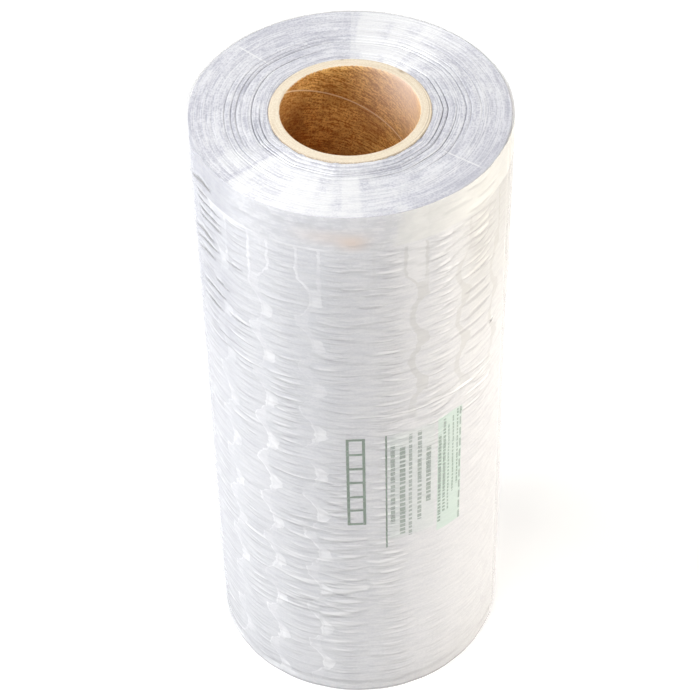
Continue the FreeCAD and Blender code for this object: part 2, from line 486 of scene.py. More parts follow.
def long_creases(azimuth, down):
    """Single ridges that cross several chains."""
    total = np.zeros_like(azimuth)
    for level, start, end, height in LONG_CREASES:
        along = (np.degrees(azimuth) - start) / (end - start)
        waver = (noise(along * 9, 0 * along, seed=int(level)) - 0.5) * 4 * MM
        across = np.abs(down - level * MM - waver) / RIDGE_WIDTH
        within = ramp(along, 0.0, 0.15) * ramp(-along, -1.0, -0.85)
        total = total + height * MM * within * np.exp(-across ** 1.3)
    return total


def sheet_grid():
    """How far each point of the last turn lies round from the cut end, in radians, and down."""
    t = np.linspace(0, 1, SHEET_COLUMNS)
    front = (FRONT - TAIL) % TURN
    swing = FRONT_CROWDING * (np.sin(TURN * t - front) + math.sin(front))
    return np.meshgrid(TURN * t - swing, np.linspace(0, WEB, SHEET_ROWS))


def upper_part(down):
    """1 in the upper third of the roll, fading to 0 in its lower half."""
    return 1 - ramp(down, 0.35 * WEB, 0.6 * WEB)


def towards_back(degrees):
    """0 from the front to the right, and 1 on the back."""
    return ramp(degrees, 30, 60)


def calm_zone(degrees, down):
    """Where folds are faint: low on the roll, from the right side to the back."""
    return (1 - upper_part(down)) * ramp(degrees, -80, -60) * (1 - 0.6 * towards_back(degrees))


def smooth_zone(degrees, down):
    """Where folds are somewhat fainter: the left side, below its upper quarter."""
    return near(degrees, -142, 34) * ramp(down, 110 * MM, 160 * MM)


def fold_strength(turned, azimuth, down, flange, right):
    """How strong the folds are: none on the flange, at the cut end and at the far left, where it is taut."""
    degrees = np.degrees(azimuth)
    patches = ramp(noise(turned * 3.1, down / (35 * MM), seed=5), 0.2, 0.8)
    taut = 1 - ramp(-np.cos(azimuth), 0.955, 0.99)
    from_tail = np.abs((degrees + 12 + 180) % 360 - 180)
    plain = ramp(from_tail, 14, 19) * (1 - flange)
    softened = (1 - 0.75 * calm_zone(degrees, down)) * (1 - 0.4 * smooth_zone(degrees, down))
    softened = softened * (1 - 0.35 * near(degrees, -92, 28) * upper_part(down))
    return plain * taut * np.clip((0.5 + 0.5 * patches) * softened + 0.6 * right, 0, 1)


def wrinkles(turned, azimuth, around, down, depth, flange):
    """How far the film's folds stand out, and how dark the painted shade in the creases under them is, where
    the film also lies against the turn below.
    """
    degrees = np.degrees(azimuth)
    loose_film = 1 - sealed(depth, down, 1.2 * MM)
    # the upper right, the deep folds in it, the upper left, and the lower front
    right = near(degrees, -42, 26) * (1 - ramp(down, 130 * MM, 190 * MM))
    deep = near(degrees, -40, 20) * ramp(down, 62 * MM, 76 * MM) * (1 - ramp(down, 125 * MM, 145 * MM))
    tight = np.clip(2.0 * near(degrees, -154, 26) * near(down, 50 * MM, 75 * MM), 0, 1)
    low = near(degrees, -95, 45) * ramp(down, 230 * MM, 270 * MM) * (1 - ramp(down, 350 * MM, 385 * MM))
    strength = fold_strength(turned, azimuth, down, flange, right)
    # each family's pitch, seed, half length, height, darkness of its painted crease shade, and where it lies
    families = [
        (5.2 * MM, 1, 12 * MM, 0.8, 0.3, loose_film * (1 - deep) * (1 - 0.5 * tight)),
        (3.4 * MM, 11, 8 * MM, 0.35, 0.6, loose_film * (1 - right) * (1 - 0.5 * low)),
        (8.0 * MM, 41, 26 * MM, 0.4, 0.3, 1 - deep),
        (9.5 * MM, 51, 34 * MM, 0.8, 0.35, low),
    ]
    stroke_crest, contact_and_crease_shade = strokes(degrees, down)
    raised = 0.9 * stroke_crest
    for pitch, seed, reach, height, darkness, where in families:
        crest, crease = lenses(around, down, pitch, seed, reach)
        raised += strength * where * height * crest
        contact_and_crease_shade += strength * where * darkness * crease
    return raised, np.clip(contact_and_crease_shade, 0, 1)


def sheet_radius(turned, azimuth, around, down, relief, off_left):
    """The last turn's radius: its relief, where it stands off the roll, and how its edges lean in."""
    loose = LOOSE_HEIGHT * noise(around / (70 * MM), down / (60 * MM), seed=8) ** 2
    off_right = near(np.cos(azimuth), 1.0, 0.06)
    swell = 0.7 + 0.3 * np.cos(TURN * (down - 60 * MM) / (240 * MM))
    off = STAND_OFF * (off_left + 0.35 * off_right) * swell
    lip = LIP_HEIGHT * ramp(turned, TURN - 0.12, TURN)
    lean = RIM_LEAN * (1 - ramp(smaller(down, WEB - down), 0.0, RIM_HEIGHT))
    limit = ROLL_RADIUS - 0.02 * MM + PROUD * np.maximum(off_left, 0.4 * off_right)
    relief = relief + loose + off
    return np.minimum(SEALED_RADIUS + relief + lip, limit) - lean


def store_seal_looks(piece, degrees, down):
    """Where the seals are painted whiter than the film as a highlight (above 0), or darker as shade (below
    0), and where pockets show.
    """
    left = ramp(degrees, -168, -150) * (1 - ramp(degrees, -101, -92))
    middle = ramp(degrees, -98, -92) * (1 - ramp(degrees, -84, -78))
    middle = middle * (0.12 * ramp(down, 240 * MM, 300 * MM) - 0.4 * (1 - ramp(down, 52 * MM, 65 * MM)))
    dark = ramp(degrees, -80, -72) * (1 - ramp(down, 125 * MM, 175 * MM) * (1 - towards_back(degrees)))
    store(piece, "seal_painted_light", left + middle - dark)
    pocket = near(degrees, -68, 9) * (1 - ramp(down, 46 * MM, 52 * MM))
    store(piece, "pocket", np.clip(3 * pocket, 0, 1))


def store_tints(piece, degrees, down, flange):
    """Where the film is misty under the flange, partly a painted highlight; where cool or warm shade and a
    warm gleam are painted on it; and its flap on the flange.
    """
    # whiter film under the flange on the left, a painted highlight, and down one inlet
    hazy_highlight = near(down, 25 * MM, 3.5 * MM) * ramp(degrees, -155, -150) * (1 - ramp(degrees, -124, -119))
    inlet = near(degrees, -143, 3) * ramp(down, 24 * MM, 30 * MM) * (1 - ramp(down, 60 * MM, 70 * MM))
    hazy_highlight = np.clip(hazy_highlight + 0.8 * inlet, 0, 1)
    store(piece, "hazy_highlight", hazy_highlight)
    # painted cool shade on the upper left
    shaded = np.clip(1.6 * near(degrees, -152, 24), 0, 1) * (1 - ramp(down, 80 * MM, 190 * MM))
    store(piece, "shaded", shaded * (1 + 0.6 * flange) * (1 - 0.8 * hazy_highlight))
    # painted warm shade on the upper right
    painted_warm_shade = ramp(degrees, -58, -36) * (1 - ramp(degrees, -6, 8)) * (1 - ramp(down, 10 * MM, 170 * MM))
    store(piece, "painted_warm_shade", painted_warm_shade)
    # a painted warm gleam high on the front
    painted_warm_gleam = 0.8 * near(degrees, -90, 8) * near(down, 18 * MM, 8 * MM)
    painted_warm_gleam = painted_warm_gleam + 0.5 * near(degrees, -97, 20) * near(down, 14 * MM, 9 * MM)
    store(piece, "painted_warm_gleam", painted_warm_gleam)
    store(piece, "flap", flange * ramp(degrees + 3 * down / FLANGE, -74, -72))


def make_outer_turn(material):
    """The last turn of film, once round the roll, with relief from its seals and wrinkles."""
    turned, down = sheet_grid()
    azimuth = (turned + TAIL + math.pi) % TURN - math.pi
    degrees = np.degrees(azimuth)
    around = turned * ROLL_RADIUS + SEAL_START
    depth = seal_depth(around, down)
    flange = 1 - ramp(down, FLANGE - 2 * MM, FLANGE)
    raised, contact_and_crease_shade = wrinkles(turned, azimuth, around, down, depth, flange)
    ridges = long_creases(azimuth, down)
    puff = PUFF * ramp(-depth, 0.0, 5 * MM) * (1 - flange)
    crushed = noise(around / (9 * MM), (down + 0.25 * around) / (5 * MM), seed=9) ** 2
    relief = puff + WRINKLE_HEIGHT * raised + ridges + flange * FLANGE_FOLD_HEIGHT * crushed
    off_left = near(np.cos(azimuth), -1.0, 0.1)
    radius = sheet_radius(turned, azimuth, around, down, relief, off_left)
    points = on_cylinder(turned + TAIL, radius, WEB - down)
    piece = grid_piece("film_outer_turn", points, close_columns=False)
    still = 0.8 * calm_zone(degrees, down) + 0.7 * smooth_zone(degrees, down)
    store(piece, "raised", raised + 1.2 * ridges / MM)
    # painted shade in the creases under the folds
    store(piece, "contact_and_crease_shade", contact_and_crease_shade)
    store(piece, "still", np.clip(still, 0, 1) - 1.2 * flange)
    store(piece, "clear", off_left)
    store_seal_looks(piece, degrees, down)
    store_tints(piece, degrees, down, flange)
    finish_piece(piece, "film_roll", material)


# ---------------------------------------------------------------- the windings and their coiled ends
WINDING_COLUMNS = 540
UPPER_RINGS = 150
LOWER_RINGS = 25
SIDE_ROWS = 8
GAP_PITCH = 2.7 * MM  # between the slack gaps of the inner turns
GAP_WIDTH = 0.15  # half of a gap, as a share of that pitch
GAP_DEPTH = 1.3 * MM
SLACK_REACH = 32 * MM  # how far from the core the gaps go on
TURN_UNEVENNESS = 0.14 * MM  # between one turn's edge and the next
END_WAVINESS = 0.25 * MM
UPPER_SEED = 20
LOWER_SEED = 40


def end_depth(azimuth, radius, seed):
    """How far the coiled end lies below the end plane: uneven turns, and slack gaps near the core."""
    turn = radius + flattening(azimuth, radius)
    single = TURN_UNEVENNESS * noise(azimuth / TURN * 24, turn / (0.7 * MM), seed, 24)
    broad = END_WAVINESS * noise(azimuth / TURN * 6, radius / (6 * MM), seed + 1, 6)
    slack = np.clip(1 - (radius - CORE_RADIUS) / SLACK_REACH, 0, 1)
    gaps = ring_lines(azimuth, turn, GAP_PITCH, seed, GAP_WIDTH)
    return single + broad + GAP_DEPTH * slack * gaps


def make_windings(material):
    """The wound film beneath the last turn: one closed body, whose two ends show the edges of its turns."""
    azimuth = np.linspace(0, TURN, WINDING_COLUMNS, endpoint=False)
    upper_a, upper_r = np.meshgrid(azimuth, np.linspace(CORE_RADIUS, WINDINGS_RADIUS, UPPER_RINGS))
    upper = on_cylinder(upper_a, upper_r, WEB - 0.15 * MM - end_depth(upper_a, upper_r, UPPER_SEED))
    side_a, side_down = np.meshgrid(azimuth, np.linspace(0, WEB, SIDE_ROWS)[1:-1])
    side = on_cylinder(side_a, np.full_like(side_a, WINDINGS_RADIUS), WEB - side_down)
    lower_a, lower_r = np.meshgrid(azimuth, np.linspace(WINDINGS_RADIUS, CORE_RADIUS, LOWER_RINGS))
    lower = on_cylinder(lower_a, lower_r, 0.05 * MM + end_depth(lower_a, lower_r, LOWER_SEED))
    piece = grid_piece("film_windings", np.concatenate([upper, side, lower]), close_rows=True)
    grid_a = np.concatenate([upper_a, side_a, lower_a])
    grid_r = np.concatenate([upper_r, np.full_like(side_a, WINDINGS_RADIUS), lower_r])
    store(piece, "flattening", flattening(grid_a, grid_r))
    store(piece, "sheen", end_sheen(grid_a, grid_r))
    finish_piece(piece, "film_roll", material)


# ---------------------------------------------------------------- the core
CORE_COLUMNS = 360
CORE_ROWS = 130
CORE_END_RINGS = 14
CHAMFER = 0.5 * MM
CORE_CLEARANCE = 0.05 * MM  # keeps the board's outer wall just inside the film


def make_core(material):
    """The paperboard tube: a closed section turned about the axis."""
    azimuth = np.linspace(0, TURN, CORE_COLUMNS, endpoint=False)
    across = np.linspace(BORE_RADIUS + CHAMFER, CORE_RADIUS - CHAMFER, CORE_END_RINGS)
    outside = CORE_RADIUS - CORE_CLEARANCE
    section = [(BORE_RADIUS, z) for z in np.linspace(CHAMFER, WEB - CHAMFER, CORE_ROWS)]
    section += [(r, WEB) for r in across]
    section += [(outside, WEB - CHAMFER), (outside, CHAMFER)]
    section += [(r, 0.0) for r in across[::-1]]
    radius, height = np.array(section).T
    grid_a, grid_r = np.meshgrid(azimuth, radius)
    grid_z = np.repeat(height[:, None], CORE_COLUMNS, axis=1)
    piece = grid_piece("core_board", on_cylinder(grid_a, grid_r, grid_z), close_rows=True)
    finish_piece(piece, "core_tube", material)


# ---------------------------------------------------------------- materials
def azimuth_of(x, y):
    """The angle round the roll's axis, in radians from -pi to pi."""
    return work_out("ARCTAN2", np.arctan2, y, x)


class Graph:
    """One material's node tree, with short ways to add to it."""

    def __init__(self, name):
        self.material = bpy.data.materials.new(name)
        self.material.use_nodes = True
        self.tree = self.material.node_tree
        self.shader = self.tree.nodes["Principled BSDF"]

    def node(self, kind, **settings):
        """A new shader node of that kind."""
        made = self.tree.nodes.new(f"ShaderNode{kind}")
        for name, value in settings.items():
            setattr(made, name, value)
        return made

    def feed(self, socket, value):
        """Links a field or socket to an input, or sets the input to a plain value."""
        if isinstance(value, Field):
            value = value.socket
        if isinstance(value, bpy.types.NodeSocket):
            self.tree.links.new(value, socket)
        else:
            socket.default_value = value

    def position(self):
        """The point's x, y and z, in the frame of the CAD model."""
        split = self.node("SeparateXYZ")
        self.feed(split.inputs[0], self.node("TexCoord").outputs["Object"])
        return [Field(self.tree, socket) for socket in split.outputs]

    def vector(self, x, y, z):
        """Three numbers as one vector."""
        made = self.node("CombineXYZ")
        for socket, value in zip(made.inputs, (x, y, z)):
            self.feed(socket, value)
        return made.outputs[0]

    def noise(self, x, y, z, detail=2.0, roughness=0.5):
        """Noise from 0 to 1 whose grains are about one unit wide."""
        made = self.node("TexNoise")
        self.feed(made.inputs["Vector"], self.vector(x, y, z))
        made.inputs["Scale"].default_value = 1.0
        made.inputs["Detail"].default_value = detail
        made.inputs["Roughness"].default_value = roughness
        return Field(self.tree, made.outputs["Fac"])

    def mix(self, share, first, second):
        """A colour between two: share is 0 for the first and 1 for the second."""
        made = self.node("Mix", data_type="RGBA")
        self.feed(made.inputs[0], share)
        self.feed(made.inputs[6], first if isinstance(first, bpy.types.NodeSocket) else (*first, 1.0))
        self.feed(made.inputs[7], second if isinstance(second, bpy.types.NodeSocket) else (*second, 1.0))
        return made.outputs[2]

    def bump(self, height, distance, strength=1.0):
        """Relief from a height that runs from 0 to 1, where 1 stands for that distance."""
        made = self.node("Bump")
        made.inputs["Strength"].default_value = strength
        made.inputs["Distance"].default_value = distance
        self.feed(made.inputs["Height"], height)
        self.feed(self.shader.inputs["Normal"], made.outputs[0])

    def around_and_down(self, turned_back=0.0):
        """Distance round the roll from the film's cut end, and down from its upper edge."""
        x, y, z = self.position()
        around = remainder(azimuth_of(x, y) - TAIL, TURN) * ROLL_RADIUS
        return around + SEAL_START + turned_back, WEB - z

    def stored(self, name):
        """A number that the mesh keeps for each of its points."""
        return Field(self.tree, self.node("Attribute", attribute_name=name).outputs["Fac"])


# ---------------------------------------------------------------- the printed field
PRINT_AROUND = 439.5  # its left edge, in mm round from the cut end
PRINT_DOWN = 164.0  # its top, in mm from the upper edge
PRINT_LENGTH = 98.0  # how far down it goes, in mm


def inside(x, low, high, edge):
    """1 between low and high, and 0 outside, with soft edges."""
    return ramp(x, low - edge, low + edge) * ramp(-x, -high - edge, -high + edge)


def frames(across, along, width, length, stroke):
    """A row of empty frames."""
    beside = absolute(across - width / 2)
    box = inside(beside, width / 2 - stroke, width / 2, 0.25)
    step = remainder(along, length)
    return larger(box, (1.0 - inside(step, stroke, length, 0.25)) * below(beside, width / 2))


def dashes(across, along, pitch, width, length, seed):
    """Rows of plain dashes of uneven length and boldness. The rows are as far apart as the pitch."""
    row = whole_part(across / pitch)
    bold = scatter(row, seed + 5)
    line = inside(across - row * pitch, 0.0, width * (0.5 + 0.5 * bold), 0.25)
    words = along / length + scatter(row, seed) * 3.0
    word = whole_part(words)
    share = words - word
    inked = 0.55 + 0.4 * scatter(row, word, seed)
    start = scatter(row, seed + 3) * 22.0
    end = PRINT_LENGTH - scatter(row, seed + 4) * 34.0
    shade = line * (0.7 + 0.3 * bold) * ramp(inked - share, -0.04, 0.04)
    return shade * inside(along, start, end, 0.5)


def ink_cover(around, down):
    """How much of the dark and the pale ink covers a point: frames, a rule and dashes, down the film."""
    across = around / MM - PRINT_AROUND
    along = down / MM - PRINT_DOWN
    heading = frames(across - 1.5, along - 3.0, 11.0, 12.0, 1.7) * inside(along, 3.0, 76.7, 0.3)
    rule = inside(across, 24.1, 25.1, 0.25) * inside(along, 2.0, 99.0, 0.3)
    rows = 0.8 * dashes(across - 27.0, along, 5.6, 4.0, 3.7, 3) * inside(across, 27.0, 54.5, 0.3)
    small = 0.75 * dashes(across - 57.5, along, 3.4, 2.3, 2.9, 9) * inside(across, 57.5, 72.5, 0.3)
    border = 0.7 * inside(across, 73.4, 74.6, 0.25) * inside(remainder(along, 9.0), 1.5, 8.0, 0.5)
    pale = inside(across, 57.0, 75.0, 0.5) * inside(along, 1.0, PRINT_LENGTH, 0.5)
    tinted = inside(across, 26.0, 55.0, 1.0) * inside(along, 2.0, 92.0, 2.0)
    marks = larger(larger(rows, small), border) * inside(along, 2.0, PRINT_LENGTH, 0.3)
    return larger(larger(heading, rule), marks), larger(pale, 0.3 * tinted)


# ---------------------------------------------------------------- the film's materials
FILM_IOR = 1.9  # with the next, the gloss of many thin layers rather than of one
FILM_SPECULAR = 0.9
WOBBLE_AROUND = 4.4 * MM  # how unevenly the seals' edges run
WOBBLE_DOWN = 3.6 * MM
WOBBLE_LOWER = 1.6 * MM  # how much more they wobble on the lower part

FILM_SHADE = (0.75, 0.75, 0.785)
FILM_LIGHT = (0.89, 0.89, 0.90)
# painted highlight on the seals and under the flange, and the flange's whiter seal line
WHITE_SEAL_AND_HIGHLIGHT = (0.95, 0.95, 0.96)
# painted shade on the seals
PAINTED_SEAL_SHADE = (0.64, 0.63, 0.61)
LIT_CREST = (0.94, 0.94, 0.94)
COOL_SHADE = (0.42, 0.42, 0.48)
WARM_SHADE = (0.46, 0.44, 0.38)
CRUMPLED = (0.66, 0.66, 0.68)
FLAP = (0.90, 0.90, 0.84)
WARM_GLEAM = (0.93, 0.72, 0.56)
# painted shade in the creases under the folds
CREASE = (0.10, 0.095, 0.10)
# painted shade along the roll's foot
FOOT_SHADE = (0.25, 0.24, 0.25)
PALE_INK = (0.50, 0.76, 0.60)
DARK_INK = (0.0, 0.075, 0.01)


def film_seals(graph, around, down, rough, cloud):
    """The last turn's seals: where they are, how white and how dark they are painted as highlight and shade,
    and the open pockets.
    """
    lower = ramp(down, 110 * MM, 170 * MM)
    wobble = rough * (WOBBLE_AROUND + WOBBLE_LOWER * lower)
    before, after, lean = seal_edges(around + wobble, down + rough * WOBBLE_DOWN)
    onward = ramp(lean, -2 * MM, 4 * MM)
    seal = sealed(smaller(before, after), down)
    edge_line = seal * (1.0 - ramp(before, 0.8 * MM, 1.4 * MM))
    node = seal * ramp(before + after + 1.2 * MM * lower, 4.8 * MM, 6.8 * MM)
    node = node * (0.15 + 0.85 * onward) * ramp(before, -0.5 * MM, 3 * MM)
    tines = 0.25 * ramp(-down, -POCKET_END - 3 * MM, -POCKET_END)
    arcs = 0.22 + 0.24 * lower
    shown = (seal * (tines + 0.14) + 0.55 * node + arcs * edge_line) * (0.2 + 0.8 * ramp(cloud, 0.36, 0.56))
    shown = shown * (1.0 + 1.5 * rough)
    # painted light on the seals: a highlight where this is above 0, and shade where it is below 0
    seal_painted_light = graph.stored("seal_painted_light")
    blotches = 0.35 * lower * ramp(cloud + 0.3 * rough, 0.5, 0.62)
    white = larger(seal_painted_light, 0.0)
    pocket = graph.stored("pocket")
    trimmed = seal * (1.0 - ramp(after, 3.0 * MM, 4.2 * MM) * (1.0 - onward) * (1.0 - pocket))
    below_flange = ramp(down, FLANGE, FLANGE + 2 * MM)
    # painted shade on the seals
    dark = trimmed * larger(-seal_painted_light, 0.0) * ramp(cloud, 0.3, 0.45) * below_flange
    in_pocket = pocket * (1.0 - seal) * ramp(smaller(before, after), 0.0, 1 * MM)
    return seal, (shown + blotches) * white, shown * white, dark, in_pocket


def painted_foot_shade(down, cloud):
    """The painted shade along the roll's foot, and the faint line above it."""
    edge = 0.8 * ramp(down, WEB - 2.0 * MM, WEB - 1.0 * MM)
    return larger(edge, 0.28 * near(down, WEB - 9 * MM, 2.5 * MM) * ramp(cloud, 0.3, 0.5))


def film_material():
    """The last turn: clear, a little misty, and glossier where it is sealed."""
    graph = Graph("clear_film")
    around, down = graph.around_and_down()
    rough = graph.noise(around * 170, down * 210, 1.0) - 0.5
    cloud = graph.noise(around * 26, down * 34, 3.0, detail=3.0)
    fine = graph.noise(around * 75, down * 420, 0.0, detail=4.0, roughness=0.65)
    grain = graph.noise(around * 650, down * 750, 5.0, roughness=0.7)
    seal, seal_highlight, shown, painted_seal_shade, in_pocket = film_seals(graph, around, down, rough, cloud)
    flange_line = 0.4 * inside(down / MM, 22.4, 23.4, 0.3) * ramp(cloud, 0.35, 0.5)
    lit = ramp(graph.stored("raised"), 0.2, 0.8)
    # painted shade in the creases under the folds, where the film also lies against the turn below
    contact_crease_shade = graph.stored("contact_and_crease_shade")
    # whiter film under the flange on the left, partly a painted highlight
    highlight_haze = graph.stored("hazy_highlight") * ramp(cloud + 0.4 * rough, 0.35, 0.6)
    crumpled = (1.0 - ramp(down, FLANGE - 1 * MM, FLANGE)) * ramp(rough, -0.06, 0.12)
    dark, pale = ink_cover(around - SEAL_START, down)
    wear = 0.85 + 0.15 * ramp(cloud, 0.3, 0.6)
    mottled = (fine - 0.5) * (1.0 - 0.6 * graph.stored("still")) + 0.5 * (grain - 0.5)
    tint = graph.mix(ramp(mottled, -0.15, 0.15), FILM_SHADE, FILM_LIGHT)
    for share, colour in [
        # painted highlight on the seals and under the flange, with the flange's whiter seal line
        (seal_highlight + flange_line + 0.8 * highlight_haze, WHITE_SEAL_AND_HIGHLIGHT),
        # painted shade on the seals
        (0.6 * painted_seal_shade, PAINTED_SEAL_SHADE),
        (larger(0.5 * lit, 0.6 * in_pocket), LIT_CREST),
        # painted cool and warm shade
        (0.4 * graph.stored("shaded"), COOL_SHADE),
        (0.6 * graph.stored("painted_warm_shade"), WARM_SHADE),
        (0.5 * crumpled, CRUMPLED),
        (0.6 * graph.stored("flap"), FLAP),
        # painted warm gleam
        (0.8 * graph.stored("painted_warm_gleam"), WARM_GLEAM),
        # painted shade in the creases
        (0.95 * contact_crease_shade, CREASE),
        # painted shade along the foot
        (painted_foot_shade(down, cloud), FOOT_SHADE),
        (0.6 * pale * wear, PALE_INK),
        (dark * wear, DARK_INK),
    ]:
        tint = graph.mix(share, tint, colour)
    shader = graph.shader
    graph.feed(shader.inputs["Base Color"], tint)
    graph.feed(shader.inputs["Roughness"], 0.27 - 0.1 * seal)
    shader.inputs["IOR"].default_value = FILM_IOR
    shader.inputs["Specular IOR Level"].default_value = FILM_SPECULAR
    cover = 0.65 + 0.2 * shown + 0.2 * lit - 0.3 * graph.stored("clear")
    graph.feed(shader.inputs["Alpha"], larger(cover, larger(larger(dark, 0.9 * contact_crease_shade), 0.7 * pale)))
    graph.bump(fine, 0.4 * MM, 0.6)
    return graph.material


END_SHADE = (0.58, 0.58, 0.65)
END_LIGHT = (0.91, 0.91, 0.95)
SHEEN_SHADE = (0.88, 0.88, 0.90)
SHEEN_LIGHT = (0.99, 0.99, 0.99)
DULL = (0.50, 0.50, 0.58)
WHITE_EDGE = (0.99, 0.99, 1.0)
DARK_EDGE = (0.26, 0.26, 0.31)
# painted shade in the slack gaps
GAP = (0.08, 0.08, 0.11)


def coiled_end_colour(graph, texture, radius, azimuth):
    """The edges of the turns: silvery, with bright sectors of painted sheen, pale and dark arcs, gaps
    painted dark as shade, and two marks.
    """
    turn = radius + graph.stored("flattening")
    sheen = graph.stored("sheen")
    bright = larger(sheen, 0.0)
    near_core = ramp(-radius, -74 * MM, -54 * MM)
    # the slack gaps near the core, painted near black as shade in them
    gaps = ring_lines(azimuth, turn, GAP_PITCH, UPPER_SEED, GAP_WIDTH) * near_core
    dark_lines = ring_lines(azimuth, turn, 1.3 * MM, 5) * (0.35 + 0.65 * near_core)
    light_lines = ring_lines(azimuth, turn, 1.1 * MM, 8)
    degrees = azimuth * (180 / math.pi)
    marks = larger(inside(degrees, -36.3, -35.6, 0.3), inside(degrees, 136.5, 137.2, 0.3))
    marks = marks * inside(radius, 60 * MM, 84 * MM, 2 * MM)
    light = graph.mix(bright, END_LIGHT, SHEEN_LIGHT)
    shade = graph.mix(bright, END_SHADE, SHEEN_SHADE)
    plain = 1.0 - 0.7 * bright
    colour = graph.mix(ramp(texture, 0.30, 0.68), shade, light)
    colour = graph.mix(0.5 * larger(-sheen, 0.0), colour, DULL)
    colour = graph.mix(larger(0.65 * light_lines, 0.9 * marks), colour, WHITE_EDGE)
    colour = graph.mix(0.4 * dark_lines * plain, colour, DARK_EDGE)
    return graph.mix(0.85 * gaps * plain, colour, GAP)


def windings_material():
    """The turns beneath: many layers that look milk-white together, and the edges of the turns at the ends.
    """
    graph = Graph("wound_film")
    around, down = graph.around_and_down(turned_back=TURN * ROLL_RADIUS)
    seal = sealed(seal_depth(around, down), down)
    fine = graph.noise(around * 50, down * 300, 0.0, detail=4.0)
    side = graph.mix(seal, (0.69, 0.69, 0.73), (0.75, 0.75, 0.77))
    side = graph.mix(ramp(fine, 0.45, 0.7), side, (0.60, 0.60, 0.65))
    x, y, z = graph.position()
    radius = root(x * x + y * y)
    turn = radius + graph.stored("flattening")
    streak = graph.noise(x / radius * 4.5, y / radius * 4.5, turn * 800, detail=3.0, roughness=0.7)
    speck = graph.noise(x * 900, y * 900, z * 900, detail=1.0)
    end = coiled_end_colour(graph, streak + 0.6 * (speck - 0.5), radius, azimuth_of(x, y))
    on_end = ramp(-radius, -(WINDINGS_RADIUS - 0.2 * MM), -(WINDINGS_RADIUS - 0.4 * MM))
    shader = graph.shader
    graph.feed(shader.inputs["Base Color"], graph.mix(on_end, side, end))
    shader.inputs["Roughness"].default_value = 0.42
    shader.inputs["IOR"].default_value = FILM_IOR
    shader.inputs["Specular IOR Level"].default_value = FILM_SPECULAR
    shader.inputs["Anisotropic"].default_value = 0.85
    shader.inputs["Anisotropic Rotation"].default_value = 0.25
    tangent = graph.node("Tangent", direction_type="RADIAL", axis="Z")
    graph.feed(shader.inputs["Tangent"], tangent.outputs[0])
    graph.bump(fine + (streak - fine) * on_end, 0.5 * MM, 0.5)
    return graph.material


# ---------------------------------------------------------------- the core's material
HELIX_LEAD = 135 * MM  # how far the board's plies climb in one turn
HELIX_START = 0.067  # how far the seam is turned on, as a share of a turn
HELIX_SLOPE = HELIX_LEAD / (TURN * BORE_RADIUS)
KRAFT_DARK = (0.46, 0.16, 0.016)
KRAFT_LIGHT = (1.0, 0.62, 0.20)
KRAFT_BLOTCH = (0.40, 0.15, 0.02)
KRAFT_SHADE = (0.30, 0.10, 0.01)
KRAFT_LIT = (1.0, 0.68, 0.32)
# a painted sheen on the board's fibres
KRAFT_NAP_SHEEN = (0.80, 0.65, 0.56)
KRAFT_SEAM = (0.98, 0.76, 0.50)
CREAM_DARK = (0.82, 0.71, 0.54)
CREAM_LIGHT = (0.94, 0.84, 0.68)
CREAM_PLY = (0.66, 0.50, 0.33)
CREAM_WORN = (0.34, 0.24, 0.16)


def bore_colour(graph, texture, blotch, lap, degrees, down):
    """The bore's kraft wall: fibrous and blotched, with painted shade on the left, and paler on the right
    and behind, where light and a sheen on its fibres are painted.
    """
    # a painted sheen on the board's fibres, high on the wall to the right and behind
    nap_sheen = near(degrees, 38, 62) * ramp(-down, -55 * MM, 0.0)
    colour = graph.mix(ramp(texture, 0.42, 0.58), KRAFT_DARK, KRAFT_LIGHT)
    colour = graph.mix(0.4 * ramp(blotch, 0.45, 0.6), colour, KRAFT_BLOTCH)
    # painted shade on the left, and painted light on the right
    colour = graph.mix(0.7 * near(absolute(degrees), 180, 60), colour, KRAFT_SHADE)
    colour = graph.mix(0.3 * near(degrees, -5, 55), colour, KRAFT_LIT)
    colour = graph.mix(0.75 * nap_sheen, colour, KRAFT_NAP_SHEEN)
    return graph.mix(0.8 * lap, colour, KRAFT_SEAM)


def cut_end_colour(graph, ply, grain, degrees, radius):
    """The board's cut end: cream plies, a line between two of them, a worn outline, a scuff and a nick."""
    ply_line = near(radius, 43.0 * MM, 0.5 * MM) * near(degrees, -5, 75)
    outline = ramp(radius, CORE_RADIUS - 0.7 * MM, CORE_RADIUS - 0.3 * MM) * ramp(grain, 0.35, 0.5)
    scuff = near(degrees, 48, 6) * near(radius, 43 * MM, 1.8 * MM)
    nick = near(degrees, 95, 2.5) * near(radius, 44 * MM, 1.4 * MM)
    worn = larger(larger(0.5 * ply_line, 0.6 * outline), larger(0.7 * scuff, 0.8 * nick))
    colour = graph.mix(ramp(grain, 0.35, 0.7), CREAM_DARK, CREAM_LIGHT)
    colour = graph.mix(0.35 * ramp(ply, 0.5, 0.62), colour, CREAM_PLY)
    return graph.mix(worn, colour, CREAM_WORN)


